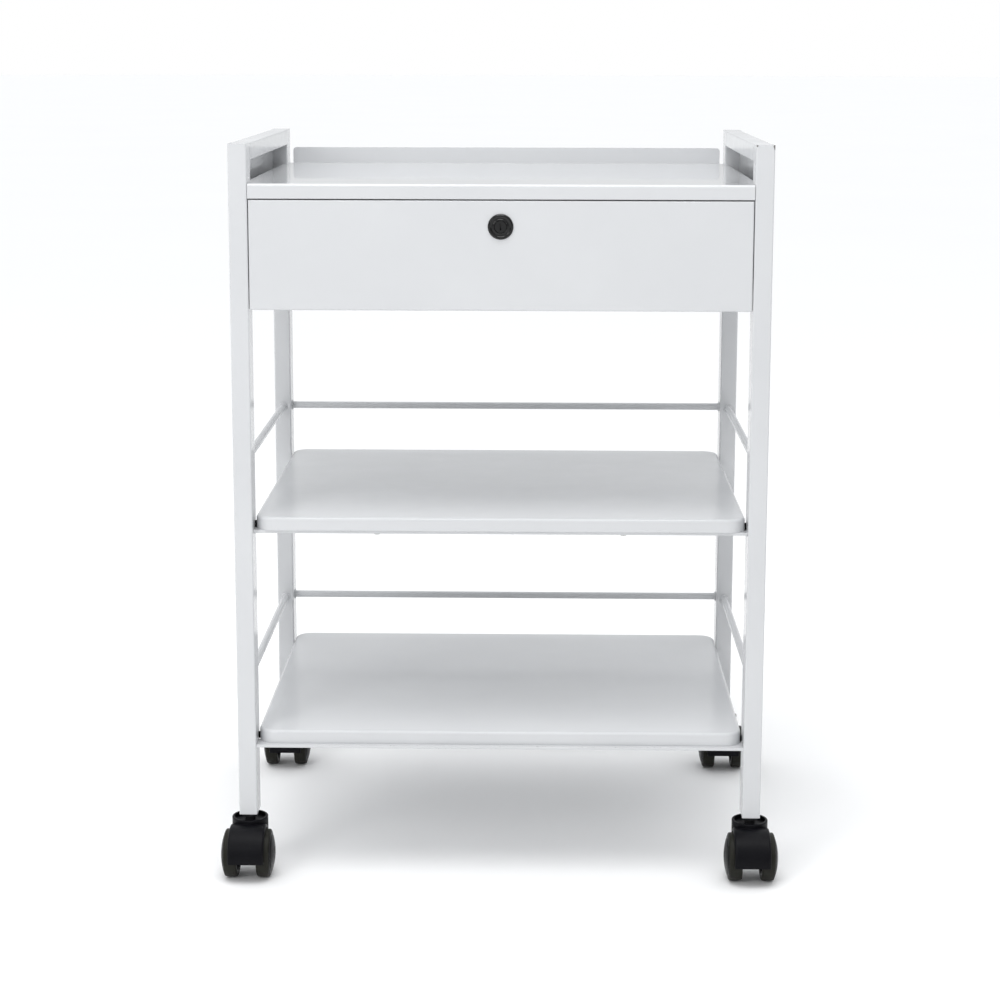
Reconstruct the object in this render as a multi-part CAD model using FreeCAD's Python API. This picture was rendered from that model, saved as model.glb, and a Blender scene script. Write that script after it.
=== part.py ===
import FreeCAD, Part
import os

# Rolling salon trolley: a welded frame of flat-sided tube, a top tray, one locking drawer,
# two open shelves with guard rods, and four swivelling twin-wheel casters.
# Millimetres, +Z up, the drawer faces -Y, the floor is z = 0, and the origin is the middle
# of the whole footprint, casters included.

# ---- driving dimensions -------------------------------------------------------------------
frame_width = 550.0
frame_depth = 400.0
frame_height = 770.0

post_width = 19.0
post_depth = 30.0
tube_wall = 1.2
tube_corner = 1.6
rail_height = 18.0

sheet = 1.0
bend = 3.0
tray_drop = 40.0
apron_height = 15.0
upstand_height = 18.5
upstand_end_gap = 4.0
panel_recess = 1.0
tray_wing = 5.0
tray_flange = 9.0

drawer_front_height = 111.8
drawer_top_gap = 1.2
drawer_side_gap = 0.8
drawer_front_depth = 14.0
drawer_box_bottom_lift = 4.0
drawer_box_top_drop = 15.8
drawer_back_room = 24.0
drawer_travel = 270.0

upper_shelf_height = 385.0
lower_shelf_height = 155.5
shelf_thickness = 14.0
shelf_front_inset = 7.0
shelf_back_inset = 0.0
shelf_side_gap = 1.5
shelf_corner = 18.0
shelf_lip = 9.0
bearer_width = 20.0
bearer_thickness = 3.0
upper_bearer_setback = 9.0
lower_bearer_setback = 1.5

rod_diameter = 8.0
upper_rod_rise = 56.5
lower_rod_rise = 52.5

slide_space = 12.5
slide_sheet = 1.0
slide_track_lift = 30.0
slide_front_gap = 2.0
slide_back_setback = 8.0
slide_tab = 12.0
slide_flange = 9.5
roller_diameter = 15.0
roller_width = 7.0
roller_pin_radius = 2.0
runner_flange_gap = 1.0

lock_drop = 26.3
lock_head_radius = 13.0
lock_head_height = 2.2
lock_barrel_radius = 9.0
lock_barrel_length = 21.5
lock_plug_radius = 6.0
lock_nut_radius = 12.5
lock_nut_height = 3.5
cam_reach = 34.0
cam_width = 12.0
cam_thickness = 1.5
cam_tail = 6.0

wheel_diameter = 50.0
wheel_inner_face = 10.2
wheel_outer_face = 28.5
wheel_web = 4.0
dome_height = 4.5
tyre_edge = 1.5
rim_thickness = 5.5
hub_wall = 3.5
axle_cover = 2.5
caster_height = 65.0
caster_trail = 20.0
axle_radius = 3.0
stem_radius = 5.5
stem_grip = 19.0
stem_reach = 34.0
stem_flange_radius = 9.0
stem_flange_height = 5.0
hood_radius = 30.0
hood_width = 38.0
hood_web = 17.0
hood_skirt_height = 22.0
hood_boss_radius = 7.5
hood_edge = 2.5
collar_radius = 19.0
collar_height = 15.0
collar_drop = 6.0
collar_edge = 1.0
cup_radius = 16.5
cup_depth = 4.0

screw_radius = 2.0
screw_head_radius = 3.4
screw_head_height = 1.4

# ---- named clearances ---------------------------------------------------------------------
running = 0.05
press = 0.02
rolling = 0.3
sliding = 1.0
small_gap = 0.5
tyre_gap = 1.3
sheet_gap = 0.25

# ---- places worked out from the above -----------------------------------------------------
front_overhang = caster_trail + hood_radius - post_depth / 2
back_overhang = max(collar_radius - post_depth / 2, 0)
front = (front_overhang - back_overhang - frame_depth) / 2
back = front + frame_depth
left = -frame_width / 2
right = frame_width / 2
inner_left = left + post_width
inner_right = right - post_width
front_post_back = front + post_depth
back_post_front = back - post_depth
tray_top = frame_height - tray_drop
apron_bottom = tray_top - apron_height
drawer_top = apron_bottom - drawer_top_gap
drawer_bottom = drawer_top - drawer_front_height
axle_height = wheel_diameter / 2


def box(x0, x1, y0, y1, z0, z1):
    """Straight block between two corners."""
    return Part.makeBox(x1 - x0, y1 - y0, z1 - z0, FreeCAD.Vector(x0, y0, z0))


def rod_x(radius, x0, x1, y, z):
    """Round bar along X."""
    return Part.makeCylinder(radius, x1 - x0, FreeCAD.Vector(x0, y, z), FreeCAD.Vector(1, 0, 0))


def rod_y(radius, y0, y1, x, z):
    """Round bar along Y."""
    return Part.makeCylinder(radius, y1 - y0, FreeCAD.Vector(x, y0, z), FreeCAD.Vector(0, 1, 0))


def rod_z(radius, z0, z1, x, y):
    """Round bar along Z."""
    return Part.makeCylinder(radius, z1 - z0, FreeCAD.Vector(x, y, z0))


def rounded_plate(x0, x1, y0, y1, z0, z1, r):
    """Flat plate whose four corners are arcs of one radius."""
    bulge = 1 - 0.5 ** 0.5
    arcs = []
    corners = ((x0, y0, 1, 1), (x1, y0, -1, 1), (x1, y1, -1, -1), (x0, y1, 1, -1))
    for index, (x, y, sx, sy) in enumerate(corners):
        along_y = FreeCAD.Vector(x, y + sy * r, z0)
        middle = FreeCAD.Vector(x + sx * r * bulge, y + sy * r * bulge, z0)
        along_x = FreeCAD.Vector(x + sx * r, y, z0)
        ends = (along_y, along_x) if index % 2 == 0 else (along_x, along_y)
        arcs.append((ends[0], middle, ends[1]))
    edges = []
    for index, (start, middle, end) in enumerate(arcs):
        edges.append(Part.Arc(start, middle, end).toShape())
        edges.append(Part.LineSegment(end, arcs[(index + 1) % 4][0]).toShape())
    return Part.Face(Part.Wire(edges)).extrude(FreeCAD.Vector(0, 0, z1 - z0))


def edges_at(shape, axis, value):
    """Edges of a shape that lie wholly at one coordinate."""
    found = []
    for edge in shape.Edges:
        limits = edge.BoundBox
        low = (limits.XMin, limits.YMin, limits.ZMin)[axis]
        high = (limits.XMax, limits.YMax, limits.ZMax)[axis]
        if abs(low - value) < 1e-4 and abs(high - value) < 1e-4:
            found.append(edge)
    return found


def save(name, shape):
    """Write one piece, or one group of like fasteners, as its own file."""
    shape.exportStep(os.path.join("parts", name + ".step"))


def side_name(x):
    return "left" if x < 0 else "right"


os.makedirs("parts", exist_ok=True)

# ---- posts: upright tubes, capped at the top, with holes for the slide screws -------------
track_top = drawer_bottom + drawer_box_bottom_lift + slide_track_lift
slide_screw_z = track_top - slide_sheet - slide_tab / 2
slide_front = front + drawer_front_depth + slide_front_gap
slide_back = back - slide_back_setback
front_screw_y = (slide_front + front_post_back) / 2
back_screw_y = (back_post_front + slide_back) / 2

for x, side in ((left, -1), (right - post_width, 1)):
    inner_face = inner_left if side < 0 else inner_right
    for y, end, screw_y in ((front, "front", front_screw_y), (back_post_front, "back", back_screw_y)):
        post = rounded_plate(x, x + post_width, y, y + post_depth, caster_height, frame_height,
                             tube_corner)
        hollow = rounded_plate(x + tube_wall, x + post_width - tube_wall,
                               y + tube_wall, y + post_depth - tube_wall,
                               caster_height, frame_height - tube_wall,
                               tube_corner - tube_wall)
        hole = rod_x(screw_radius + running, inner_face - post_width / 2, inner_face + post_width / 2,
                     screw_y, slide_screw_z)
        far_wall = box(x, x + post_width / 2, y, y + post_depth, caster_height, frame_height)
        if side < 0:
            hole = hole.cut(far_wall)
        else:
            hole = hole.cut(far_wall.translated(FreeCAD.Vector(post_width / 2, 0, 0)))
        save(end + "_" + side_name(side) + "_post", post.cut(hollow).cut(hole))

# ---- handle rails: tube along each side between the tops of the posts ---------------------
for x, side in ((left, -1), (right - post_width, 1)):
    rail = box(x, x + post_width, front_post_back, back_post_front,
               frame_height - rail_height, frame_height)
    rail = rail.makeFillet(tube_corner, [e for e in rail.Edges if e.BoundBox.YLength > post_depth])
    bore = box(x + tube_wall, x + post_width - tube_wall, front_post_back, back_post_front,
               frame_height - rail_height + tube_wall, frame_height - tube_wall)
    save(side_name(side) + "_handle_rail", rail.cut(bore))

# ---- side panels under the rails, and the back panel below the tray -----------------------
for side in (-1, 1):
    outer = side * (frame_width / 2 - panel_recess)
    inner = outer - side * sheet
    panel = box(min(outer, inner), max(outer, inner), front_post_back, back_post_front,
                drawer_bottom, frame_height - rail_height)
    save(side_name(side) + "_side_panel", panel)

panel_back = back - sheet
panel_front = panel_back - sheet
save("back_panel", box(inner_left + sheet_gap, inner_right - sheet_gap, panel_front, panel_back,
                       drawer_bottom, tray_top - sheet))

# ---- top tray: floor with a front apron, flanged side wings and a back upstand -------------
tray_left = inner_left + sheet_gap
tray_right = inner_right - sheet_gap
apron = box(tray_left, tray_right, front, panel_back, apron_bottom, tray_top)
apron = apron.makeFillet(bend, [e for e in edges_at(apron, 1, front)
                                if abs(e.BoundBox.ZMin - tray_top) < 1e-4])
under = box(tray_left, tray_right, front + sheet, back, apron_bottom, tray_top - sheet)
under = under.makeFillet(bend - sheet, [e for e in edges_at(under, 1, front + sheet)
                                        if abs(e.BoundBox.ZMin - tray_top + sheet) < 1e-4])
tray = apron.cut(under)
wing_reach = inner_right + tray_wing
tray = tray.fuse(box(-wing_reach, wing_reach, front_post_back + sheet_gap,
                     back_post_front - sheet_gap, tray_top - sheet, tray_top))
for x in (-wing_reach, wing_reach - sheet):
    tray = tray.fuse(box(x, x + sheet, front_post_back + sheet_gap, back_post_front - sheet_gap,
                         tray_top - sheet - tray_flange, tray_top - sheet))
upstand = box(inner_left + upstand_end_gap, inner_right - upstand_end_gap, panel_front, panel_back,
              tray_top - sheet, tray_top + upstand_height)
upstand = upstand.makeFillet(upstand_end_gap, [e for e in upstand.Edges if e.BoundBox.YLength > sheet / 2
                                               and e.BoundBox.ZMin > tray_top])
save("top_tray", tray.fuse(upstand).removeSplitter())

# ---- front crossbar: an angle under the tray that the lock's cam hooks behind --------------
cam_front = front + lock_barrel_length + small_gap
strike_back = cam_front - sliding
strike_front = strike_back - 1.5 * sheet
strike = box(inner_left, inner_right, strike_front, strike_back, apron_bottom - sheet, tray_top - sheet)
ledge = box(inner_left, inner_right, front + bend + sheet, strike_front,
            tray_top - 2 * sheet, tray_top - sheet)
save("front_crossbar", strike.fuse(ledge).removeSplitter())

# ---- shelves: pressed pans on flat bearers, with screws up through bearer and lip ----------
screw_solids = []
shelves = (("upper", upper_shelf_height, upper_bearer_setback, upper_rod_rise),
           ("lower", lower_shelf_height, lower_bearer_setback, lower_rod_rise))
for name, height, setback, rod_rise in shelves:
    bottom = height - shelf_thickness
    x0, x1 = inner_left + shelf_side_gap, inner_right - shelf_side_gap
    y0, y1 = front + shelf_front_inset, back - shelf_back_inset
    pan = rounded_plate(x0, x1, y0, y1, bottom, height, shelf_corner)
    pan = pan.makeFillet(bend, edges_at(pan, 2, height))
    inside = rounded_plate(x0 + sheet, x1 - sheet, y0 + sheet, y1 - sheet, bottom, height - sheet,
                           shelf_corner - sheet)
    inside = inside.makeFillet(bend - sheet, edges_at(inside, 2, height - sheet))
    lip = rounded_plate(x0 + sheet, x1 - sheet, y0 + sheet, y1 - sheet, bottom, bottom + sheet,
                        shelf_corner - sheet)
    lip = lip.cut(rounded_plate(x0 + shelf_lip, x1 - shelf_lip, y0 + shelf_lip, y1 - shelf_lip,
                                bottom, bottom + sheet, shelf_corner - shelf_lip))
    pan = pan.cut(inside).fuse(lip)
    bearers = {"front": box(inner_left, inner_right, front + setback, front + setback + bearer_width,
                            bottom - bearer_thickness, bottom),
               "back": box(inner_left, inner_right, back - setback - bearer_width, back - setback,
                           bottom - bearer_thickness, bottom)}
    front_screw = (max(y0, front + setback) + y0 + shelf_lip) / 2
    back_screw = (min(y1, back - setback) + y1 - shelf_lip) / 2
    for end, y in (("front", front_screw), ("back", back_screw)):
        for x in (inner_left / 2, inner_right / 2):
            hole = rod_z(screw_radius + running, bottom - bearer_thickness, bottom + sheet, x, y)
            pan = pan.cut(hole)
            bearers[end] = bearers[end].cut(hole)
            shank = rod_z(screw_radius, bottom - bearer_thickness, bottom + 3 * sheet, x, y)
            head = rod_z(screw_head_radius, bottom - bearer_thickness - screw_head_height,
                         bottom - bearer_thickness, x, y)
            screw_solids.append(shank.fuse(head))
        save(name + "_" + end + "_bearer", bearers[end])
    save(name + "_shelf", pan.removeSplitter())

    # guard rods at the sides and back, welded to the posts
    z = height + rod_rise
    rod_radius = rod_diameter / 2
    for side in (-1, 1):
        x = side * (frame_width - post_width) / 2
        save(name + "_" + side_name(side) + "_guard_rod",
             rod_y(rod_radius, front_post_back, back_post_front, x, z))
    save(name + "_back_guard_rod",
         rod_x(rod_radius, inner_left, inner_right, back - post_depth / 2, z))
save("shelf_screws", Part.makeCompound(screw_solids))

# ---- drawer: folded front with the box behind it -------------------------------------------
lock_z = drawer_top - lock_drop
face_left = inner_left + drawer_side_gap
face_right = inner_right - drawer_side_gap
face_back = front + drawer_front_depth
lock_hole = rod_y(lock_barrel_radius + press, front, face_back + sheet, 0, lock_z)
face = box(face_left, face_right, front, face_back, drawer_bottom, drawer_top)
face = face.makeFillet(bend / 2, edges_at(face, 1, front))
face_hollow = box(face_left + sheet, face_right - sheet, front + sheet, face_back,
                  drawer_bottom + sheet, drawer_top - sheet)
save("drawer_front", face.cut(face_hollow).cut(lock_hole))

box_left = inner_left + slide_space
box_right = inner_right - slide_space
box_back = back - drawer_back_room
box_bottom = drawer_bottom + drawer_box_bottom_lift
box_top = drawer_top - drawer_box_top_drop
# The box is five panels, spot-welded at their edges.
panel_bottom = box_bottom + sheet
box_panels = [
    box(box_left, box_right, face_back, box_back, box_bottom, panel_bottom),
    box(box_left, box_left + sheet, face_back, box_back, panel_bottom, box_top),
    box(box_right - sheet, box_right, face_back, box_back, panel_bottom, box_top),
    box(box_left + sheet, box_right - sheet, box_back - sheet, box_back, panel_bottom, box_top),
    box(box_left + sheet, box_right - sheet, face_back, face_back + sheet, panel_bottom, box_top).cut(lock_hole),
]
save("drawer_box", Part.makeCompound(box_panels))

# ---- slides: a channel on the posts and a runner on the drawer, each with one roller -------
# Distances across a slide are counted inwards from the post's inner face.
roller_radius = roller_diameter / 2
roller_z = track_top + rolling + roller_radius
flange_bottom = roller_z + roller_radius + rolling
channel_top = flange_bottom + slide_sheet + runner_flange_gap
fixed_roller_y = slide_front + roller_radius + rolling
moving_roller_y = box_back - roller_radius - 2 * sliding
roller_start = slide_sheet + sliding
runner_web = slide_space - slide_sheet
stop_y = moving_roller_y - drawer_travel - roller_radius - small_gap
stop_height = roller_radius / 2
slide_screws = []
for side in (-1, 1):
    wall = side * (frame_width / 2 - post_width)

    def across(near, far, y0, y1, z0, z1):
        """Block given by its distances from the post's inner face."""
        a, b = sorted((wall - side * near, wall - side * far))
        return box(a, b, y0, y1, z0, z1)

    def pin_across(radius, near, far, y, z):
        """Round bar along X given by its distances from the post's inner face."""
        a, b = sorted((wall - side * near, wall - side * far))
        return rod_x(radius, a, b, y, z)

    channel = across(0, slide_sheet, slide_front, slide_back,
                     track_top - slide_sheet - slide_tab, channel_top + slide_sheet)
    channel = channel.fuse(across(slide_sheet, slide_sheet + slide_flange, slide_front, slide_back,
                                  track_top - slide_sheet, track_top))
    channel = channel.fuse(across(slide_sheet, slide_sheet + slide_flange, slide_front, slide_back,
                                  channel_top, channel_top + slide_sheet))
    channel = channel.fuse(across(roller_start, roller_start + roller_width, stop_y - 2 * slide_sheet, stop_y,
                                  track_top, track_top + stop_height))
    channel = channel.fuse(pin_across(roller_pin_radius, slide_sheet, roller_start + roller_width,
                                      fixed_roller_y, roller_z))
    for y in (front_screw_y, back_screw_y):
        channel = channel.cut(pin_across(screw_radius + running, 0, slide_sheet, y, slide_screw_z))
        shank = pin_across(screw_radius, -3 * sheet, slide_sheet, y, slide_screw_z)
        head = pin_across(screw_head_radius, slide_sheet, slide_sheet + screw_head_height, y, slide_screw_z)
        slide_screws.append(shank.fuse(head))
    save(side_name(side) + "_slide_rail", channel.removeSplitter())

    runner = across(runner_web, slide_space, face_back + sliding, box_back,
                    track_top + sliding, flange_bottom + slide_sheet)
    runner = runner.fuse(across(roller_start, runner_web, face_back + sliding, box_back,
                                flange_bottom, flange_bottom + slide_sheet))
    runner = runner.fuse(pin_across(roller_pin_radius, roller_start, runner_web, moving_roller_y, roller_z))
    save(side_name(side) + "_drawer_runner", runner.removeSplitter())

    for end, y in (("front", fixed_roller_y), ("back", moving_roller_y)):
        roller = pin_across(roller_radius, roller_start, roller_start + roller_width, y, roller_z)
        bore = pin_across(roller_pin_radius + running, roller_start, roller_start + roller_width, y, roller_z)
        save(end + "_" + side_name(side) + "_slide_roller", roller.cut(bore))
save("slide_screws", Part.makeCompound(slide_screws))

# ---- cam lock: body and nut stay on the drawer, plug and cam turn --------------------------
lock_head = rod_y(lock_head_radius, front - lock_head_height, front, 0, lock_z)
lock_head = lock_head.makeFillet(lock_head_height / 2, edges_at(lock_head, 1, front - lock_head_height))
lock_body = lock_head.fuse(rod_y(lock_barrel_radius, front, front + lock_barrel_length, 0, lock_z))
lock_body = lock_body.cut(rod_y(lock_plug_radius + running, front - lock_head_height,
                                front + lock_barrel_length, 0, lock_z))
save("lock_body", lock_body.removeSplitter())

nut_front = face_back + sheet
nut_corners = []
for step in range(7):
    turn = FreeCAD.Rotation(FreeCAD.Vector(0, 1, 0), 60 * step)
    corner = turn.multVec(FreeCAD.Vector(lock_nut_radius, 0, 0))
    nut_corners.append(corner + FreeCAD.Vector(0, nut_front, lock_z))
lock_nut = Part.Face(Part.makePolygon(nut_corners)).extrude(FreeCAD.Vector(0, lock_nut_height, 0))
save("lock_nut", lock_nut.cut(rod_y(lock_barrel_radius + press, nut_front, nut_front + lock_nut_height,
                                    0, lock_z)))

plug = rod_y(lock_plug_radius, front - lock_head_height, cam_front, 0, lock_z)
keyway = box(-cam_thickness / 2, cam_thickness / 2, front - lock_head_height, front + lock_barrel_length / 2,
             lock_z - lock_plug_radius * 0.6, lock_z + lock_plug_radius * 0.6)
tail = box(-cam_tail / 2, cam_tail / 2, cam_front, cam_front + 2 * cam_thickness,
           lock_z - cam_tail / 2, lock_z + cam_tail / 2)
save("lock_plug", plug.cut(keyway).fuse(tail))

cam_end = cam_reach - cam_width / 2
cam = box(0, cam_end, cam_front, cam_front + cam_thickness, lock_z - cam_width / 2, lock_z + cam_width / 2)
for x in (0, cam_end):
    cam = cam.fuse(rod_y(cam_width / 2, cam_front, cam_front + cam_thickness, x, lock_z))
cam_hole = cam_tail / 2 + press
save("lock_cam", cam.cut(box(-cam_hole, cam_hole, cam_front, cam_front + cam_thickness,
                             lock_z - cam_hole, lock_z + cam_hole)).removeSplitter())


# ---- casters: stem in the post, hood on the stem, axle in the hood, two wheels -------------
stem_foot = caster_height - stem_reach


def caster_wheel():
    """Right-hand wheel, turned about X: a tyre-wide rim on a hub, closed by a domed face."""
    rim = wheel_diameter / 2
    hub = axle_radius + hub_wall
    tyre_end = wheel_outer_face - dome_height
    web = tyre_end - wheel_web
    edge = tyre_edge
    soft = edge * (1 - 0.5 ** 0.5)
    bore_end = wheel_outer_face - axle_cover
    boss = hood_web / 2 + tyre_gap / 2
    dome_radius = ((rim - edge) ** 2 + dome_height ** 2) / (2 * dome_height)
    dome_centre = wheel_outer_face - dome_radius

    def at(x, r):
        return FreeCAD.Vector(x, 0, r)

    corners = [at(boss, 0), at(boss, hub), at(web, hub), at(web, rim - rim_thickness),
               at(wheel_inner_face, rim - rim_thickness), at(wheel_inner_face, rim - edge)]
    edges = [Part.LineSegment(a, b).toShape() for a, b in zip(corners, corners[1:])]
    edges.append(Part.Arc(corners[-1], at(wheel_inner_face + soft, rim - soft),
                          at(wheel_inner_face + edge, rim)).toShape())
    edges.append(Part.LineSegment(at(wheel_inner_face + edge, rim), at(tyre_end - edge, rim)).toShape())
    edges.append(Part.Arc(at(tyre_end - edge, rim), at(tyre_end - soft, rim - soft),
                          at(tyre_end, rim - edge)).toShape())
    on_dome = at(dome_centre + (dome_radius ** 2 - hub ** 2) ** 0.5, hub)
    edges.append(Part.Arc(at(tyre_end, rim - edge), on_dome, at(wheel_outer_face, 0)).toShape())
    edges.append(Part.LineSegment(at(wheel_outer_face, 0), corners[0]).toShape())
    profile = Part.Face(Part.Wire(edges))
    wheel = profile.revolve(FreeCAD.Vector(0, 0, 0), FreeCAD.Vector(1, 0, 0), 360)
    return wheel.cut(rod_x(axle_radius + running, boss, bore_end, 0, 0))


def caster_hood():
    """Fender over both wheels with a web between them and a cupped collar round the stem."""
    collar_top = caster_height - collar_drop
    axle = -caster_trail
    fender = rod_x(hood_radius, -hood_width / 2, hood_width / 2, axle, axle_height)
    fender = fender.makeFillet(hood_edge, edges_at(fender, 0, -hood_width / 2)
                               + edges_at(fender, 0, hood_width / 2))
    collar = rod_z(collar_radius, collar_top - collar_height, collar_top, 0, 0)
    collar = collar.makeFillet(collar_edge, edges_at(collar, 2, collar_top))
    hood = fender.fuse(collar)
    hood = hood.cut(box(-hood_width, hood_width, axle - 2 * hood_radius, hood_radius,
                        axle_height - 2 * hood_radius, hood_skirt_height))
    room = wheel_diameter / 2 + tyre_gap
    for x0, x1 in ((-hood_width, -hood_web / 2), (hood_web / 2, hood_width)):
        hood = hood.cut(rod_x(room, x0, x1, axle, axle_height))
    hood = hood.fuse(rod_x(hood_boss_radius, -hood_web / 2, hood_web / 2, axle, axle_height))
    hood = hood.cut(rod_z(cup_radius, collar_top - cup_depth, collar_top, 0, 0))
    hood = hood.cut(rod_z(stem_radius + running, stem_foot - sliding, collar_top, 0, 0))
    hood = hood.cut(rod_x(axle_radius + press, -hood_width, hood_width, axle, axle_height))
    return hood


stem = rod_z(stem_radius, stem_foot, caster_height + stem_grip, 0, 0)
stem = stem.fuse(rod_z(stem_flange_radius, caster_height - stem_flange_height, caster_height, 0, 0))
hood = caster_hood()
axle_end = wheel_outer_face - axle_cover - small_gap
axle = rod_x(axle_radius, -axle_end, axle_end, -caster_trail, axle_height)
right_wheel = caster_wheel().translated(FreeCAD.Vector(0, -caster_trail, axle_height))
left_wheel = right_wheel.mirror(FreeCAD.Vector(0, 0, 0), FreeCAD.Vector(1, 0, 0))
insert_x = post_width / 2 - tube_wall - press
insert_y = post_depth / 2 - tube_wall - press
insert_top = caster_height + stem_grip + 2
insert = rounded_plate(-insert_x, insert_x, -insert_y, insert_y, caster_height, insert_top, tube_corner)
insert = insert.cut(rod_z(stem_radius + press, caster_height, insert_top, 0, 0))

inserts = []
for end, y in (("front", front + post_depth / 2), ("back", back - post_depth / 2)):
    for side in (-1, 1):
        place = FreeCAD.Vector(side * (frame_width - post_width) / 2, y, 0)
        corner = end + "_" + side_name(side) + "_caster_"
        save(corner + "stem", stem.translated(place))
        save(corner + "hood", hood.translated(place))
        save(corner + "axle", axle.translated(place))
        save(corner + "left_wheel", left_wheel.translated(place))
        save(corner + "right_wheel", right_wheel.translated(place))
        inserts.append(insert.translated(place))
save("post_inserts", Part.makeCompound(inserts))
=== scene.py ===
"""Rolling salon trolley: the looks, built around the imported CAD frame.

The sections follow the trolley as it is put together: tube frame, welds, sheet parts, rods,
drawer, slides, lock, casters and screws. Lengths are metres, the drawer faces -Y, +Z is up.
"""

import math

import bmesh
import bpy
import numpy as np
from mathutils import Matrix, Vector


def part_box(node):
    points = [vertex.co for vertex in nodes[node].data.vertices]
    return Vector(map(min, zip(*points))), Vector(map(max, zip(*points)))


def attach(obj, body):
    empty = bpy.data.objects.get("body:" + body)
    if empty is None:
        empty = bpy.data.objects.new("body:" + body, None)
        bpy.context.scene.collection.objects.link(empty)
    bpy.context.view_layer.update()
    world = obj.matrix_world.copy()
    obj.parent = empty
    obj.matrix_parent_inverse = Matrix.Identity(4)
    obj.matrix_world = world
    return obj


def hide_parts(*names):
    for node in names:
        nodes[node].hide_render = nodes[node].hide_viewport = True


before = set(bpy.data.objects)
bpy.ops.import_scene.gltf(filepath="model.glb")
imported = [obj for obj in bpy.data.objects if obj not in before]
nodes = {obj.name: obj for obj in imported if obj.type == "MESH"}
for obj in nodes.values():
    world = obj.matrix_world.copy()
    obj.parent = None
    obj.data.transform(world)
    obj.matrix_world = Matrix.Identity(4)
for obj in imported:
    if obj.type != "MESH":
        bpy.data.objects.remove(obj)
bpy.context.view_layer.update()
mm = 0.001

# ---- camera ---------------------------------------------------------------------------------
# Stands in front of the drawer at the height of a person's chest, turned a little to the left
# and tipped down, with a long lens and a small downward shift that keeps the casters in view.
camera_place = Vector((0.0358, -2.4040, 0.8695))
camera_turn = 0.0162
camera_tip = 0.1694
camera_roll = 0.0022
camera_lens = 79.2
camera_shift = -0.08

camera = bpy.data.objects.new("camera", bpy.data.cameras.new("camera"))
bpy.context.scene.collection.objects.link(camera)
bpy.context.scene.camera = camera
camera.data.sensor_width = 36
camera.data.lens = camera_lens
camera.data.shift_y = camera_shift
camera.data.clip_end = 200
camera.matrix_world = (Matrix.Translation(camera_place)
                       @ Matrix.Rotation(camera_turn, 4, "Z")
                       @ Matrix.Rotation(math.pi / 2 - camera_tip, 4, "X")
                       @ Matrix.Rotation(camera_roll, 4, "Z"))


# ---- studio floor ---------------------------------------------------------------------------
# A seamless sheet of pale matt card, rolled out far past the trolley on every side. It is a
# disc whose rings grow wider outwards, with the faint tooth of the card as its finish.
floor_reach = 60.0
floor_rings = 24
floor_spokes = 48


def add(tree, kind, sockets=(), **settings):
    """Adds a shader node. settings are its own choices, and sockets its inputs by name or
    number, each a plain value or the output of another node."""
    made = tree.nodes.new("ShaderNode" + kind)
    for name, value in settings.items():
        setattr(made, name, value)
    for name, value in dict(sockets).items():
        if isinstance(value, bpy.types.NodeSocket):
            tree.links.new(value, made.inputs[name])
        else:
            made.inputs[name].default_value = value
    return made


def start_material(name):
    """A new material: its node tree, its Principled shader and the object's own coordinates."""
    material = bpy.data.materials.new(name)
    material.use_nodes = True
    tree = material.node_tree
    place = add(tree, "TexCoord").outputs["Object"]
    return material, tree, tree.nodes["Principled BSDF"], place


def speckle(tree, place, scale, detail, roughness=0.5, stretch=(1, 1, 1)):
    """Cloudy noise from 0 to 1, with scale cells to the metre, drawn out along one axis where
    stretch is below one."""
    drawn = add(tree, "Mapping", {"Vector": place, "Scale": stretch}).outputs["Vector"]
    return add(tree, "TexNoise", {"Vector": drawn, "Scale": scale, "Detail": detail,
                                  "Roughness": roughness}).outputs["Fac"]


def spread(tree, value, low, high, to_low=0.0, to_high=1.0):
    """Value moved from one range to another and kept inside it."""
    return add(tree, "MapRange", {"Value": value, "From Min": low, "From Max": high,
                                  "To Min": to_low, "To Max": to_high}).outputs["Result"]


def times(tree, a, b):
    """One value times another."""
    return add(tree, "Math", {0: a, 1: b}, operation="MULTIPLY").outputs["Value"]


def plus(tree, a, b):
    """One value and another, added."""
    return add(tree, "Math", {0: a, 1: b}, operation="ADD").outputs["Value"]


def tinted(tree, share, low, high):
    """Colour low where share is 0, colour high where it is 1."""
    return add(tree, "Mix", {0: share, 6: low, 7: high}, data_type="RGBA").outputs[2]


def relief(tree, height, depth, under=None):
    """Bump normal of a height from 0 to 1 that stands for that depth in metres."""
    sockets = {"Height": height, "Distance": depth, "Strength": 1.0}
    if under is not None:
        sockets["Normal"] = under
    return add(tree, "Bump", sockets).outputs["Normal"]


def grid_mesh(name, points, closed_u=False, closed_v=False):
    """Mesh of a grid of points, shaped (rows along u, places along v, 3): each cell is one
    face, closed_u and closed_v join the last row or place to the first, and rows that shrink
    to one point become poles."""
    rows, places = points.shape[:2]
    row, place = np.meshgrid(np.arange(rows - (not closed_u)),
                             np.arange(places - (not closed_v)), indexing="ij")
    next_row, next_place = (row + 1) % rows, (place + 1) % places
    faces = np.stack([row * places + place, row * places + next_place,
                      next_row * places + next_place, next_row * places + place], axis=-1)
    mesh = bpy.data.meshes.new(name)
    mesh.from_pydata(points.reshape(-1, 3), [], faces.reshape(-1, 4).tolist())
    return mesh


def circle_turns(steps):
    """That many angles, evenly round a full circle, without the last that meets the first."""
    return np.linspace(0, 2 * math.pi, steps + 1)[:-1]


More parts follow.
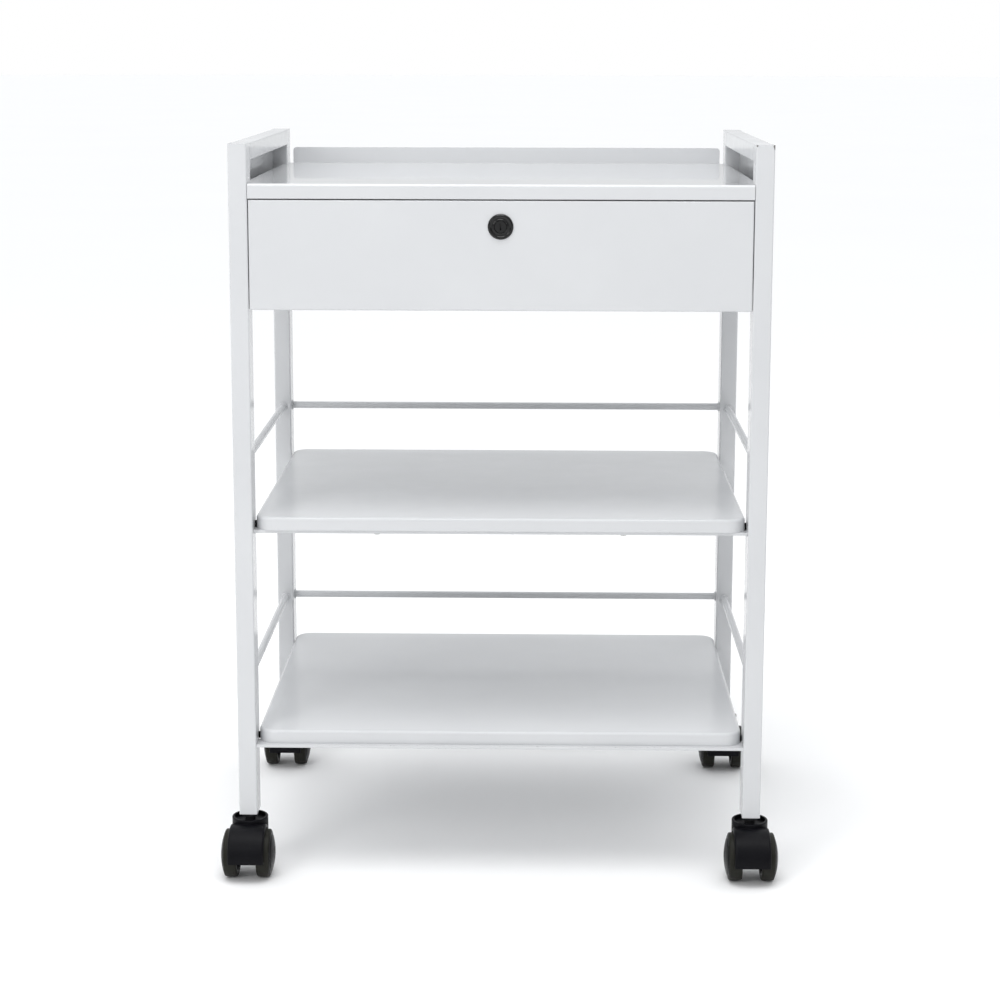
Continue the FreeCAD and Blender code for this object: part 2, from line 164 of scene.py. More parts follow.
def new_piece(name, meshes, material):
    """One smooth object from one or more grid meshes: coinciding points are welded, faces
    turned outwards, and the material put on."""
    shell = bmesh.new()
    for mesh in meshes:
        shell.from_mesh(mesh)
        bpy.data.meshes.remove(mesh)
    bmesh.ops.remove_doubles(shell, verts=shell.verts, dist=1e-7)
    bmesh.ops.dissolve_degenerate(shell, edges=shell.edges, dist=1e-8)
    bmesh.ops.recalc_face_normals(shell, faces=shell.faces)
    joined = bpy.data.meshes.new(name)
    shell.to_mesh(joined)
    shell.free()
    joined.materials.append(material)
    joined.polygons.foreach_set("use_smooth", np.full(len(joined.polygons), True))
    piece = bpy.data.objects.new(name, joined)
    bpy.context.scene.collection.objects.link(piece)
    return piece


def pale_card():
    """Matt white card: almost even, with a faint tooth and slow drifts of tone."""
    material, tree, shader, place = start_material("pale_card")
    drift = speckle(tree, place, 0.8, 2)
    tooth = speckle(tree, place, 900, 2)
    tree.links.new(tinted(tree, drift, (0.945, 0.945, 0.945, 1), (0.965, 0.965, 0.965, 1)),
                   shader.inputs["Base Color"])
    tree.links.new(spread(tree, tooth, 0.3, 0.7, 0.75, 0.9), shader.inputs["Roughness"])
    tree.links.new(relief(tree, tooth, 0.02 * mm), shader.inputs["Normal"])
    shader.inputs["Specular IOR Level"].default_value = 0.15
    return material


ring, spoke = np.meshgrid(np.linspace(0, 1, floor_rings),
                          np.linspace(0, 2 * math.pi, floor_spokes + 1), indexing="ij")
floor_points = np.stack([floor_reach * ring ** 3 * np.cos(spoke),
                         floor_reach * ring ** 3 * np.sin(spoke), 0 * ring], axis=-1)
floor = new_piece("floor", [grid_mesh("floor", floor_points)], pale_card())

# ---- studio light ---------------------------------------------------------------------------
# A dome that is brightest overhead and a little stronger to the left and behind, with two soft
# boxes near the trolley. What the camera sees past the floor is as white as the floor.
dome_level = 0.20
dome_sides = {"top": ((0, 0, 1), 1.12), "left": ((-1, 0, 0), 0.12), "back": ((0, 1, 0), 0.40)}
dome_tint = (0.975, 0.987, 1.0, 1)
seen_level = 1.0
soft_boxes = {
    "key": {"place": (-1.4, -2.1, 1.45), "aim": (0, 0, 0.55), "size": 0.9, "power": 12},
    "top": {"place": (-0.1, -0.7, 2.3), "aim": (0, 0, 0.4), "size": 1.4, "power": 17},
}

world = bpy.data.worlds.new("studio")
bpy.context.scene.world = world
world.use_nodes = True
sky = world.node_tree
sky.nodes.clear()
direction = add(sky, "TexCoord").outputs["Generated"]
strength = dome_level
for axis, gain in dome_sides.values():
    facing = add(sky, "VectorMath", {0: direction, 1: axis}, operation="DOT_PRODUCT")
    strength = plus(sky, spread(sky, facing.outputs["Value"], 0, 1, 0, gain), strength)
lighting = add(sky, "Background", {"Color": dome_tint, "Strength": strength}).outputs[0]
seen = add(sky, "Background", {"Color": (1, 1, 1, 1), "Strength": seen_level}).outputs[0]
straight = add(sky, "LightPath").outputs["Is Camera Ray"]
chosen = add(sky, "MixShader", {0: straight, 1: lighting, 2: seen}).outputs[0]
add(sky, "OutputWorld", {"Surface": chosen})

for name, box in soft_boxes.items():
    light = bpy.data.lights.new(name, "AREA")
    light.shape = "DISK"
    light.size = box["size"]
    light.energy = box["power"]
    lamp = bpy.data.objects.new(name, light)
    bpy.context.scene.collection.objects.link(lamp)
    lamp.location = box["place"]
    beam = Vector(box["aim"]) - Vector(box["place"])
    lamp.rotation_euler = beam.to_track_quat("-Z", "Y").to_euler()
    lamp.visible_camera = False

bpy.context.scene.view_settings.view_transform = "Standard"
bpy.context.scene.view_settings.look = "None"

# ---- tube frame: posts and handle rails -----------------------------------------------------
# Rectangular steel tube, sawn and welded, ground flush at the top and powder coated in gloss
# white. The coat has a fine orange peel, is knocked thin on the corners, and has a painted
# highlight along its edges.
coat_white = (0.634, 0.642, 0.654, 1)
coat_shade = (0.606, 0.614, 0.627, 1)
coat_nib = (0.55, 0.55, 0.54, 1)
# The next colour is a painted highlight: a paler coat laid along the edges.
coat_highlight = (0.66, 0.67, 0.68, 1)
bare_steel = (0.16, 0.155, 0.15, 1)
chip_depth = 0.08 * mm


def edge_mask(tree, radius, low, high):
    """1 on the sharp edges of a part and 0 on its flats, from how far the normal rounded over
    that radius leans from the true one; and the rounded normal."""
    rounded = add(tree, "Bevel", {"Radius": radius}, samples=4).outputs["Normal"]
    normal = add(tree, "NewGeometry").outputs["Normal"]
    lean = add(tree, "VectorMath", {0: rounded, 1: normal}, operation="DOT_PRODUCT")
    return spread(tree, lean.outputs["Value"], low, high, 1.0, 0.0), rounded


def powder_coat(name, wave_depth, peel_depth, gloss, chip_share, knocks=()):
    """Gloss powder coat: peel over slow waves in the steel, dust nibs, a coat that thins on the
    edges and carries a painted highlight there, and chips down to the steel where it is thinnest.
    Each knock is a place and the reach of the chip there."""
    material, tree, shader, place = start_material(name)
    edge, rounded = edge_mask(tree, 0.9 * mm, 0.80, 0.97)
    cloud = speckle(tree, place, 7, 4)
    smear = speckle(tree, place, 16, 5, 0.6)
    nib = spread(tree, speckle(tree, place, 700, 1), 0.74, 0.80)
    chip = spread(tree, speckle(tree, place, 210, 4, 0.65), chip_share, chip_share - 0.03)
    chipped = times(tree, spread(tree, edge, 0.55, 0.9), chip)
    ragged = spread(tree, speckle(tree, place, 900, 3), 0.3, 0.7, -0.5 * mm, 0.5 * mm)
    for spot, reach in knocks:
        away = add(tree, "VectorMath", {0: place, 1: spot}, operation="DISTANCE")
        away = plus(tree, away.outputs["Value"], ragged)
        chipped = plus(tree, chipped, spread(tree, away, reach, 0.8 * reach))
    # Painted highlight: the edges get a paler coat colour, which stands for light caught on them.
    edge_highlight = times(tree, edge, 0.35)
    paint = tinted(tree, spread(tree, cloud, 0.3, 0.7), coat_shade, coat_white)
    paint = tinted(tree, times(tree, nib, 0.25), paint, coat_nib)
    paint = tinted(tree, edge_highlight, paint, coat_highlight)
    tree.links.new(tinted(tree, chipped, paint, bare_steel), shader.inputs["Base Color"])
    dull = plus(tree, spread(tree, smear, 0.35, 0.7, gloss, 1.6 * gloss), times(tree, edge, 0.12))
    tree.links.new(plus(tree, dull, times(tree, chipped, 0.35)), shader.inputs["Roughness"])
    waves = relief(tree, speckle(tree, place, 9, 1), wave_depth, rounded)
    peel = relief(tree, speckle(tree, place, 330, 2), peel_depth, waves)
    whole = add(tree, "Math", {0: 1.0, 1: chipped}, operation="SUBTRACT").outputs[0]
    tree.links.new(relief(tree, whole, chip_depth, peel), shader.inputs["Normal"])
    shader.inputs["IOR"].default_value = 1.5
    return material


def dress(material, *names):
    """Puts a material on CAD nodes, in place of the plain one they were packed with."""
    for name in names:
        for slot in nodes[name].material_slots:
            slot.material = material


corners = [end + "_" + side for end in ("front", "back") for side in ("left", "right")]
post_low, post_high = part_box("front_right_post")
knocks = [((post_low.x + 0.6 * mm, post_low.y, post_high.z - 0.4 * mm), 1.5 * mm),
          ((post_high.x - 0.3 * mm, post_low.y, post_high.z - 1.2 * mm), 2.0 * mm),
          ((post_high.x - 0.2 * mm, post_low.y + 0.4 * mm, post_high.z - 3.2 * mm), 1.3 * mm)]
coated_tube = powder_coat("coated_tube", 0.05 * mm, 0.008 * mm, 0.13, 0.40, knocks)
dress(coated_tube, *[corner + "_post" for corner in corners],
      "left_handle_rail", "right_handle_rail")

# ---- sheet parts: tray, shelves, side and back panels, drawer --------------------------------
# Pressed and folded 1 mm steel with rolled edges, in the same coat. Wide flat sheet is never
# quite flat, so it carries longer waves than the tube. The tray is flatter and polished.
coated_sheet = powder_coat("coated_sheet", 0.10 * mm, 0.007 * mm, 0.14, 0.36)
dress(coated_sheet, "upper_shelf", "lower_shelf", "left_side_panel", "right_side_panel",
      "back_panel", "drawer_front", "drawer_box", "front_crossbar")
tray_gloss = powder_coat("tray_gloss", 0.012 * mm, 0.0012 * mm, 0.035, 0.36)
dress(tray_gloss, "top_tray")

# ---- guard rods and bearers -----------------------------------------------------------------
# Drawn 8 mm rod and flat bar, cut square and welded between the posts before coating.
coated_bar = powder_coat("coated_bar", 0.03 * mm, 0.006 * mm, 0.14, 0.37)
rods = [shelf + "_" + side + "_guard_rod"
        for shelf in ("upper", "lower") for side in ("left", "right", "back")]
bearers = [shelf + "_" + end + "_bearer"
           for shelf in ("upper", "lower") for end in ("front", "back")]
dress(coated_bar, *rods, *bearers)

# ---- welds ----------------------------------------------------------------------------------
# Small stacked-coin fillets round the rod ends and along the bearer ends, laid before coating,
# so they are white like the tube.
bead_radius = 1.5 * mm
bead_sides = 14
coin_pitch = 1.9 * mm
coin_swell = 0.13
seam_steps = 60


def bead(path, radius, closed):
    """Tube carried along a path: the radius swells and sinks as a cosine once per coin, and an
    open path tapers to a point at both ends, as the root of one less the sixth power of the
    place from its middle."""
    steps = np.roll(path, -1, axis=0) - np.roll(path, 1, axis=0)
    if not closed:
        steps[0], steps[-1] = path[1] - path[0], path[-1] - path[-2]
    along = steps / np.linalg.norm(steps, axis=1)[:, None]
    run = np.concatenate([[0], np.cumsum(np.linalg.norm(np.diff(path, axis=0), axis=1))])
    length = run[-1]
    coins = max(round(length / coin_pitch), 2)
    swell = 1 + coin_swell * np.cos(2 * math.pi * coins * run / length)
    if not closed:
        swell = swell * np.sqrt(np.clip(1 - (2 * run / length - 1) ** 6, 0, 1))
    side = np.cross(along, (0.31, 0.52, 0.79))
    side /= np.linalg.norm(side, axis=1)[:, None]
    up = np.cross(along, side)
    turn = circle_turns(bead_sides)[None, :, None]
    ring = side[:, None] * np.cos(turn) + up[:, None] * np.sin(turn)
    return grid_mesh("bead", path[:, None] + radius * swell[:, None, None] * ring, closed, True)


def ring_path(centre, axis, radius, steps=72):
    """Points on a circle round an axis, evenly turned."""
    turn = circle_turns(steps)
    first, second = {"x": ((0, 1, 0), (0, 0, 1)), "y": ((0, 0, 1), (1, 0, 0))}[axis]
    return (np.array(centre) + radius * (np.cos(turn)[:, None] * np.array(first)
                                         + np.sin(turn)[:, None] * np.array(second)))


beads = []
for rod in rods:
    low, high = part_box(rod)
    centre = (low + high) / 2
    rod_radius = (high.z - low.z) / 2
    if rod.endswith("back_guard_rod"):
        ends = [((low.x, centre.y, centre.z), "x"), ((high.x, centre.y, centre.z), "x")]
    else:
        ends = [((centre.x, low.y, centre.z), "y"), ((centre.x, high.y, centre.z), "y")]
    beads += [bead(ring_path(end, axis, rod_radius), bead_radius, True) for end, axis in ends]
for bearer in bearers:
    low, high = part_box(bearer)
    for x in (low.x, high.x):
        seam = np.stack([np.full(seam_steps, x),
                         np.linspace(low.y + bead_radius, high.y - bead_radius, seam_steps),
                         np.full(seam_steps, low.z)], axis=-1)
        beads.append(bead(seam, bead_radius, False))
welds = new_piece("frame_welds", beads, coated_bar)
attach(welds, "frame")

# ---- shelf gap rings, painted shade ---------------------------------------------------------
# Black nylon rings pressed in the gap beside every post, at each shelf's side. They are painted
# shade: dark things set where that gap falls into shadow.
gap_ring_radius = 3.7 * mm
gap_ring_rim = 0.35 * mm
gap_ring_drop = 10.5 * mm
gap_ring_inset = 4.5 * mm
inner_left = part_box("front_left_post")[1].x
inner_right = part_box("front_right_post")[0].x
post_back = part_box("front_left_post")[1].y
post_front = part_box("back_left_post")[0].y


def turned(name, profile, centre, axis, steps=64):
    """Solid of revolution: profile is a list of (place along the axis, radius), and each of its
    points goes once round the axis."""
    line = np.array(profile, float)
    turn = circle_turns(steps)
    along, radius = line[:, 0][:, None] + 0 * turn, line[:, 1][:, None]
    first, second = radius * np.cos(turn), radius * np.sin(turn)
    order = {"x": (along, first, second), "y": (first, along, second)}[axis]
    return grid_mesh(name, np.stack(order, axis=-1) + np.array(centre), closed_v=True)


def rounded_corners(points, radius, steps=5):
    """The outline with each inner corner replaced by a short curve: a quadratic through points
    set back by the radius, or by half a side where that is shorter."""
    points = [np.array(p, float) for p in points]
    line = [points[0]]
    for before, corner, after in zip(points, points[1:], points[2:]):
        back, on = before - corner, after - corner
        reach = min(radius, np.linalg.norm(back) / 2, np.linalg.norm(on) / 2)
        start = corner + back / np.linalg.norm(back) * reach
        end = corner + on / np.linalg.norm(on) * reach
        share = np.linspace(0, 1, steps)[:, None]
        line += list((1 - share) ** 2 * start + 2 * share * (1 - share) * corner
                     + share ** 2 * end)
    return line + [points[-1]]


def moulded_black(name, tint, gloss, texture, highlight_strength, shine):
    """Moulded black plastic: spark-eroded grain, flow clouds, dust in the grain, and edges made
    paler by a painted highlight."""
    material, tree, shader, place = start_material(name)
    edge, rounded = edge_mask(tree, 0.5 * mm, 0.82, 0.98)
    cloud = speckle(tree, place, 60, 4)
    dust = times(tree, spread(tree, speckle(tree, place, 420, 5, 0.7), 0.52, 0.75), 0.22)
    darker = tuple(0.7 * c for c in tint)
    base = tinted(tree, cloud, (*darker, 1), (*tint, 1))
    base = tinted(tree, dust, base, (*(2.4 * c + 0.006 for c in tint), 1))
    # Painted highlight: the edges are made paler, which stands for light caught on them.
    painted_highlight = times(tree, edge, spread(tree, speckle(tree, place, 300, 3), 0.4, 0.65, 0.0, highlight_strength))
    base = tinted(tree, painted_highlight, base, (*(3 * c + 0.03 for c in tint), 1))
    dull = spread(tree, cloud, 0.3, 0.7, gloss - 0.05, gloss + 0.07)
    tree.links.new(base, shader.inputs["Base Color"])
    tree.links.new(dull, shader.inputs["Roughness"])
    grain = relief(tree, speckle(tree, place, 1500, 3), texture, rounded)
    tree.links.new(grain, shader.inputs["Normal"])
    shader.inputs["Specular IOR Level"].default_value = shine
    return material


black_nylon = moulded_black("black_nylon", (0.008, 0.008, 0.009), 0.42, 0.012 * mm, 0.4, 0.12)
# Painted shade: black rings put in the gap between each post and shelf, to darken it.
gap_rings = []
for shelf in ("upper_shelf", "lower_shelf"):
    shelf_low, shelf_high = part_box(shelf)
    for y in (post_back - gap_ring_inset, post_front + gap_ring_inset):
        for wall, side in ((inner_left, shelf_low.x), (inner_right, shelf_high.x)):
            near, far = sorted((wall, side))
            rounded_off = gap_ring_radius - gap_ring_rim
            outline = [(near, 0), (near, rounded_off), (near + gap_ring_rim, gap_ring_radius),
                       (far - gap_ring_rim, gap_ring_radius), (far, rounded_off), (far, 0)]
            gap_rings.append(turned("gap_ring", outline, (0, y, shelf_high.z - gap_ring_drop), "x", 40))
gap_ring_piece = new_piece("shelf_shade_rings", gap_rings, black_nylon)
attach(gap_ring_piece, "frame")
dress(black_nylon, "post_inserts")

# ---- drawer hem -----------------------------------------------------------------------------
# The top edge of the drawer box is rolled inwards into a safe round hem, all the way round.
hem_radius = 1.3 * mm
hem_corner = 3.0 * mm
hem_inset = 1.0 * mm
corner_steps = 9
hem_sides = 16


def ring_of_tube(low, high, z, corner, radius):
    """Tube round a rectangle with quarter-round corners, at one height: the path turns through
    four arcs joined by straight runs."""
    turn = np.linspace(0, math.pi / 2, corner_steps)
    middle = np.array([(high[0] - corner, high[1] - corner), (low[0] + corner, high[1] - corner),
                       (low[0] + corner, low[1] + corner), (high[0] - corner, low[1] + corner)])
    arcs = [np.stack([m[0] + corner * np.cos(turn + k * math.pi / 2),
                      m[1] + corner * np.sin(turn + k * math.pi / 2),
                      np.full(corner_steps, z)], axis=-1)
            for k, m in enumerate(middle)]
    path = np.concatenate(arcs)
    steps = np.roll(path, -1, axis=0) - np.roll(path, 1, axis=0)
    along = steps / np.linalg.norm(steps, axis=1)[:, None]
    side = np.cross(along, (0, 0, 1))
    turn = circle_turns(hem_sides)[None, :, None]
    ring = side[:, None] * np.cos(turn) + np.array((0, 0, 1)) * np.sin(turn)
    return grid_mesh("hem", path[:, None] + radius * ring, True, True)


box_low, box_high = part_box("drawer_box")
hem_ring = ring_of_tube((box_low.x + hem_inset, box_low.y + hem_inset),
                        (box_high.x - hem_inset, box_high.y - hem_inset),
                        box_high.z - hem_radius / 2, hem_corner, hem_radius)
hem = new_piece("drawer_hem", [hem_ring], coated_sheet)
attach(hem, "drawer")

# ---- slides ---------------------------------------------------------------------------------
# Rolled steel channels in a satin pale grey epoxy, with tracks that the rollers have polished
# and greased, and milky nylon rollers. They are screwed to the posts and to the drawer box.


def slide_epoxy():
    """Satin epoxy: fine scratches along the travel, and grey grease in long streaks."""
    material, tree, shader, place = start_material("slide_epoxy")
    edge, rounded = edge_mask(tree, 0.5 * mm, 0.82, 0.98)
    streak = speckle(tree, place, 260, 3, 0.6, (1, 0.04, 1))
    scratch = speckle(tree, place, 1600, 2, 0.5, (1, 0.012, 1))
    grease = spread(tree, streak, 0.45, 0.75)
    base = tinted(tree, grease, (0.74, 0.745, 0.74, 1), (0.56, 0.56, 0.54, 1))
    tree.links.new(tinted(tree, times(tree, edge, 0.5), base, (0.40, 0.40, 0.39, 1)),
                   shader.inputs["Base Color"])
    tree.links.new(spread(tree, streak, 0.3, 0.7, 0.42, 0.25), shader.inputs["Roughness"])
    tree.links.new(relief(tree, scratch, 0.006 * mm, rounded), shader.inputs["Normal"])
    return material


def roller_nylon():
    """Natural nylon: milky and cloudy, with a fine grain."""
    material, tree, shader, place = start_material("roller_nylon")
    cloud = speckle(tree, place, 180, 3)
    tree.links.new(tinted(tree, cloud, (0.62, 0.62, 0.59, 1), (0.76, 0.76, 0.73, 1)),
                   shader.inputs["Base Color"])
    tree.links.new(spread(tree, cloud, 0.3, 0.7, 0.35, 0.5), shader.inputs["Roughness"])
    tree.links.new(relief(tree, speckle(tree, place, 900, 2), 0.01 * mm), shader.inputs["Normal"])
    shader.inputs["Subsurface Weight"].default_value = 0.15
    shader.inputs["Subsurface Radius"].default_value = (0.002, 0.002, 0.0018)
    return material


dress(slide_epoxy(), "left_slide_rail", "right_slide_rail",
      "left_drawer_runner", "right_drawer_runner")
dress(roller_nylon(), *[corner + "_slide_roller" for corner in corners])

# ---- plated steel ---------------------------------------------------------------------------
# Turned axles, and a stamped lock cam and its nut, in bright zinc plate. The caster stems are
# turned steel, blackened and oiled.


def zinc_plate():
    """Bright zinc: a soft metal sheen in two tones, with fine rubbed lines and dull patches."""
    material, tree, shader, place = start_material("zinc_plate")
    edge, rounded = edge_mask(tree, 0.3 * mm, 0.82, 0.98)
    patch = speckle(tree, place, 140, 4, 0.6)
    tree.links.new(tinted(tree, patch, (0.50, 0.50, 0.49, 1), (0.68, 0.68, 0.66, 1)),
                   shader.inputs["Base Color"])
    tree.links.new(plus(tree, spread(tree, patch, 0.35, 0.7, 0.24, 0.42), times(tree, edge, 0.1)),
                   shader.inputs["Roughness"])
    lines = speckle(tree, place, 1800, 2, 0.5, (1, 0.1, 0.1))
    tree.links.new(relief(tree, lines, 0.005 * mm, rounded), shader.inputs["Normal"])
    shader.inputs["Metallic"].default_value = 1.0
    return material


def black_oxide():
    """Blackened steel: dark, with an oily mottled sheen."""
    material, tree, shader, place = start_material("black_oxide")
    edge, rounded = edge_mask(tree, 0.3 * mm, 0.82, 0.98)
    patch = speckle(tree, place, 220, 4, 0.6)
    base = tinted(tree, patch, (0.010, 0.010, 0.011, 1), (0.026, 0.026, 0.028, 1))
    tree.links.new(tinted(tree, times(tree, edge, 0.4), base, (0.09, 0.09, 0.09, 1)),
                   shader.inputs["Base Color"])
    tree.links.new(spread(tree, patch, 0.3, 0.7, 0.32, 0.5), shader.inputs["Roughness"])
    tree.links.new(relief(tree, patch, 0.01 * mm, rounded), shader.inputs["Normal"])
    shader.inputs["Specular IOR Level"].default_value = 0.35
    return material


zinc = zinc_plate()
dress(zinc, "lock_nut", "lock_cam", *[corner + "_caster_axle" for corner in corners])
dress(black_oxide(), *[corner + "_caster_stem" for corner in corners])

# ---- screws ---------------------------------------------------------------------------------
# Zinc-plated pan-head screws with a cross recess. Eight go up through the bearers into the
# shelves, and four hold the slides to the posts.
head_wide = 3.4 * mm
head_rise = 1.4 * mm
shank_wide = 2.0 * mm
thread_rise = 0.12 * mm
screw_pitch = 0.8 * mm
cross_wide = 0.45 * mm
cross_reach = 2.1 * mm
cross_deep = 0.9 * mm


def pan_screw(seat, way, shank_run, axis):
    """Crossed head and shank as rings round the screw's axis. The head stands over its seat by
    head_rise times the fourth root of 1 - (r / head_wide) ** 4, less a cross that is deepest at
    the middle; the shank's radius carries a shallow wave, its thread."""
    turn = circle_turns(80)
    share = np.sin(np.linspace(0, math.pi / 2, 34))
    radius = head_wide * share[:, None] + 0 * turn
    rise = head_rise * (1 - 0.999 * share ** 4)[:, None] ** 0.25 + 0 * turn
    across, up = radius * np.cos(turn), radius * np.sin(turn)
    narrow, far = np.minimum(abs(across), abs(up)), np.maximum(abs(across), abs(up))
    arm = np.clip((cross_wide - narrow) / (0.12 * mm) + 0.5, 0, 1)
    rise = rise - cross_deep * arm * np.clip((cross_reach - far) / (0.9 * mm), 0, 1)
    down = np.linspace(0, -shank_run, 40)[:, None]
    thread = shank_wide - thread_rise * (1 + np.cos(2 * math.pi * down / screw_pitch))
    flat = 0 * turn[None]
    ring_radius = np.concatenate([radius, head_wide + flat, thread + 0 * turn, flat])
    ring_rise = np.concatenate([rise, flat, down + 0 * turn, -shank_run + flat])
    along = way * ring_rise
    first, second = ring_radius * np.cos(turn), ring_radius * np.sin(turn)
    order = {"x": (along, first, second), "z": (first, second, along)}[axis]
    return grid_mesh("screw", np.stack(order, axis=-1) + np.array(seat), closed_v=True)


def screw_groups(node):
    """Low and high corner of each screw of a node: its points are parted by the side of the
    node's middle that they lie on, along the axes in which the screws lie apart."""
    points = np.empty(len(nodes[node].data.vertices) * 3)
    nodes[node].data.vertices.foreach_get("co", points)
    points = points.reshape(-1, 3)
    least, most = points.min(axis=0), points.max(axis=0)
    apart = most - least > 4 * head_wide
    octant = ((points > (least + most) / 2) & apart) @ np.array((1, 2, 4))
    groups = [points[octant == k] for k in np.unique(octant)]
    return [(group.min(axis=0), group.max(axis=0)) for group in groups]


shelf_screws = []
for low, high in screw_groups("shelf_screws"):
    seat = ((low[0] + high[0]) / 2, (low[1] + high[1]) / 2, low[2] + head_rise)
    shelf_screws.append(pan_screw(seat, -1, high[2] - low[2] - head_rise, "z"))
slide_screws = []
for low, high in sorted(screw_groups("slide_screws"), key=lambda ends: ends[0][0] > 0):
    inward = 1 if low[0] < 0 else -1
    seat_x = (high[0] if inward > 0 else low[0]) - inward * head_rise
    seat = (seat_x, (low[1] + high[1]) / 2, (low[2] + high[2]) / 2)
    slide_screws.append(pan_screw(seat, inward, high[0] - low[0] - head_rise, "x"))
for name, screws in (("shelf_pan_screws", shelf_screws), ("slide_pan_screws", slide_screws)):
    screws = new_piece(name, screws, zinc)
    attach(screws, "frame")
    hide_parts(name.replace("_pan", ""))

# ---- lock -----------------------------------------------------------------------------------
# A cam lock in glossy black: a die-cast body with a rolled bezel and a dished face, threaded
# behind for its nut, and a plug with a keyway that turns in it.
lock_low, lock_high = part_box("lock_body")
lock_centre = (0, 0, (lock_low.z + lock_high.z) / 2)
head_radius = (lock_high.z - lock_low.z) / 2
face_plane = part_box("drawer_front")[0].y
barrel_radius = 9.0 * mm
plug_radius = 6.0 * mm
thread_pitch = 1.0 * mm
thread_depth = 0.35 * mm

lock_gloss = moulded_black("lock_gloss", (0.0018, 0.0018, 0.002), 0.08, 0.002 * mm, 0.12, 0.4)


def threaded_barrel(start, end, radius, pitch, depth, steps=96):
    """Screw thread: the radius sinks by a rounded tooth wave of the place along the axis plus
    one pitch per turn, fading out at both ends."""
    along = np.linspace(start, end, int((end - start) / pitch * 8) + 1)
    turn = circle_turns(steps)
    y, a = np.meshgrid(along, turn, indexing="ij")
    fade = np.clip((y - start) / pitch, 0, 1) * np.clip((end - y) / pitch, 0, 1)
    tooth = 0.5 - 0.5 * np.cos(2 * math.pi * (y / pitch - a / (2 * math.pi)))
    r = radius - depth * fade * tooth ** 0.7
    return grid_mesh("thread", np.stack([r * np.cos(a), y, r * np.sin(a)], axis=-1)
                     + np.array(lock_centre), closed_v=True)


bezel = rounded_corners([(face_plane, barrel_radius), (face_plane, head_radius),
                         (face_plane - 0.9 * mm, head_radius),
                         (lock_low.y, head_radius - 1.3 * mm),
                         (lock_low.y, head_radius - 2.6 * mm),
                         (lock_low.y + 0.7 * mm, head_radius - 3.4 * mm),
                         (lock_low.y + 0.7 * mm, plug_radius + 2.0 * mm),
                         (lock_low.y + 0.1 * mm, plug_radius + 1.4 * mm),
                         (lock_low.y + 0.1 * mm, plug_radius + 0.5 * mm),
                         (lock_low.y + 1.0 * mm, plug_radius + 0.05 * mm),
                         (lock_high.y, plug_radius + 0.05 * mm),
                         (lock_high.y, barrel_radius)], 0.4 * mm)
barrel = threaded_barrel(face_plane, lock_high.y, barrel_radius, thread_pitch, thread_depth)
lock_shell = new_piece("lock_bezel", [turned("bezel", bezel, lock_centre, "y", 96), barrel],
                       lock_gloss)
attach(lock_shell, "drawer")
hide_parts("lock_body")
dress(lock_gloss, "lock_plug")

# ---- caster hoods ---------------------------------------------------------------------------
# Moulded nylon hoods with a cupped collar round the stem, textured by the mould. Each turns on
# its stem in the foot of the post.
hood_nylon = moulded_black("hood_nylon", (0.0045, 0.0045, 0.0062), 0.40, 0.010 * mm, 0.3, 0.10)
dress(hood_nylon, *[corner + "_caster_hood" for corner in corners])

# ---- caster wheels --------------------------------------------------------------------------
# Each wheel is a moulded nylon disc with a domed outer face, and a softer olive-grey tyre
# moulded round it. They turn on a steel axle through the hood.
tyre_inner = 10.2 * mm
tyre_wall = 4.6 * mm
tyre_round = 1.8 * mm
face_edge = 1.5 * mm
hub_wall = 3.5 * mm
axle_bore = 3.05 * mm
dome_rise = 4.5 * mm
cap_radius = 6.5 * mm
joint_gap = 0.35 * mm

tyre_rubber = moulded_black("tyre_rubber", (0.016, 0.016, 0.0118), 0.44, 0.02 * mm, 0.3, 0.16)
disc_nylon = moulded_black("disc_nylon", (0.0035, 0.0035, 0.004), 0.28, 0.006 * mm, 0.3, 0.06)


def tyre_outline(inner, outer, tread, wall):
    """Closed outline of the tyre: a crown that sinks with the square of the place from its
    middle, two shallow bell-shaped moulding lines, quarter-round shoulders and a straight
    bore."""
    across = np.linspace(inner + tyre_round, outer - tyre_round, 41)
    share = (across - inner) / (outer - inner)
    crown = tread - 0.25 * mm * (2 * share - 1) ** 2
    lines = 0.18 * mm * sum(np.exp(-((share - at) * (outer - inner) / (0.28 * mm)) ** 2)
                            for at in (0.2, 0.8))
    turn = np.linspace(0, math.pi / 2, 8)[:-1]
    shoulder = crown[0] - tyre_round
    quarter = [(tyre_round * (1 - math.cos(a)), shoulder + tyre_round * math.sin(a)) for a in turn]
    left = [(inner + back, height) for back, height in quarter]
    right = [(outer - back, height) for back, height in quarter[::-1]]
    bore = tread - wall
    return ([(inner, bore)] + left + list(zip(across, crown - lines)) + right
            + [(outer, bore), (inner, bore)])


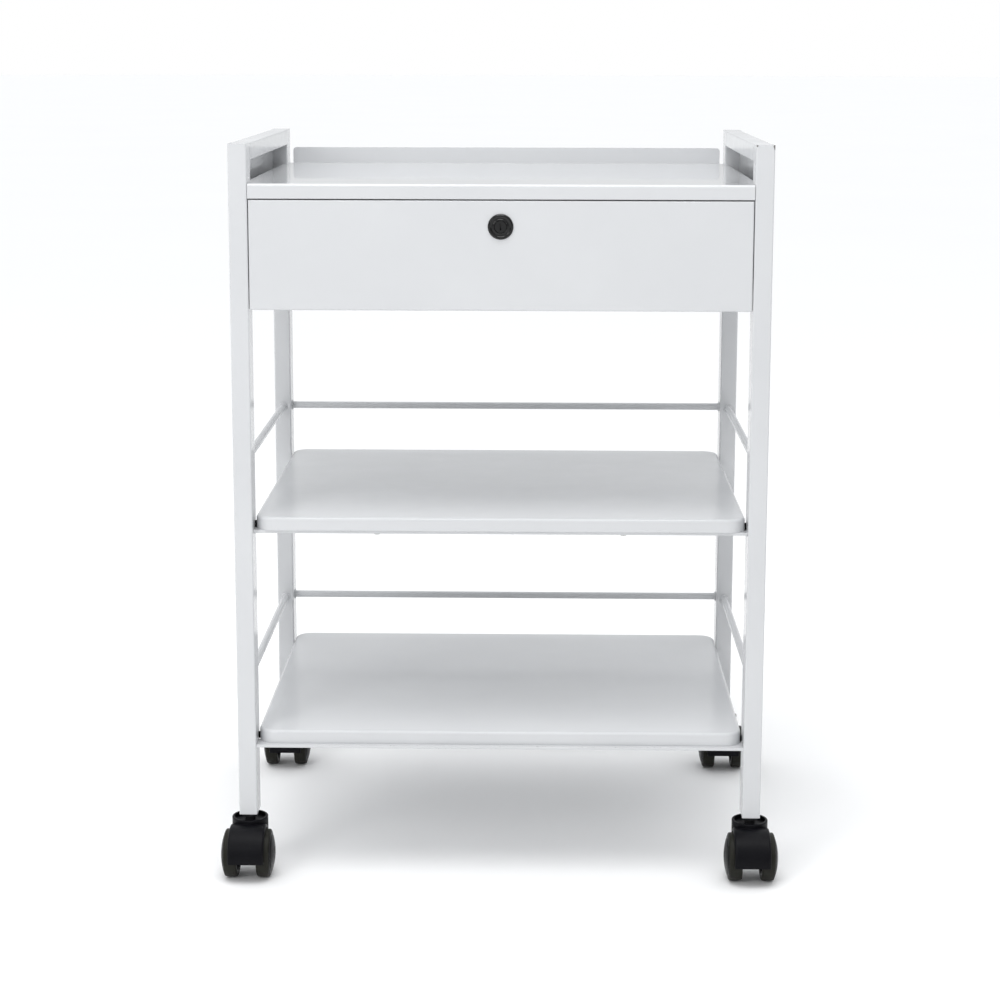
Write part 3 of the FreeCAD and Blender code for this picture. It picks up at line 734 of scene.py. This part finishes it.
def disc_outline(inner, outer, tyre_end, tread, hub, axle, wall):
    """Outline of the disc from the blind end of its bore, over its hub, web, rim and lip, to its
    face: a dome that rises as one less the square of the radius, with bell-shaped grooves for a
    ring, for the edge of a cap and for the gate mark at the middle."""
    rim = tread - wall
    face = tread - face_edge
    r = np.linspace(face, 0, 90)
    dome = tyre_end + dome_rise * (1 - (r / face) ** 2)
    groove = 0.45 * mm * np.exp(-((r - (tread - 5 * mm)) / (0.7 * mm)) ** 2)
    cap = 0.35 * mm * np.exp(-((r - cap_radius) / (0.45 * mm)) ** 2)
    gate = 0.4 * mm * np.exp(-(r / (0.9 * mm)) ** 2)
    web = outer - dome_rise - 4.0 * mm
    bore = outer - 2.5 * mm
    return ([(bore, 0), (bore, axle), (hub, axle), (hub, axle + hub_wall), (web, axle + hub_wall),
             (web, rim - 1.8 * mm), (inner + 0.6 * mm, rim - 1.6 * mm), (inner + 0.6 * mm, rim),
             (tyre_end - 0.1 * mm, rim), (tyre_end - 0.1 * mm + joint_gap, rim + joint_gap),
             (tyre_end, face)] + list(zip(dome - groove - cap - gate, r)))


for corner in corners:
    stem_low, stem_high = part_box(corner + "_caster_stem")
    stem_x = (stem_low.x + stem_high.x) / 2
    for side, way in (("left", -1), ("right", 1)):
        node = corner + "_caster_" + side + "_wheel"
        body = corner + "_" + side + "_wheel"
        low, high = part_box(node)
        tread = (high.z - low.z) / 2
        outer = abs((high.x if way > 0 else low.x) - stem_x)
        hub = abs((low.x if way > 0 else high.x) - stem_x)
        tyre_end = outer - dome_rise
        axis_place = (stem_x, (low.y + high.y) / 2, (low.z + high.z) / 2)
        tyre_line = tyre_outline(tyre_inner, tyre_end, tread, tyre_wall)
        disc_line = disc_outline(tyre_inner, outer, tyre_end, tread, hub, axle_bore, tyre_wall)
        for part, line, material, slot in (("tyre", tyre_line, tyre_rubber, "caster_tyre"),
                                           ("disc", disc_line, disc_nylon, "caster_plastic")):
            line = [(way * x, r) for x, r in line]
            piece = new_piece(corner + "_" + side + "_" + part,
                              [turned(part, line, axis_place, "x", 128)], material)
            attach(piece, body)
            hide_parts(node)
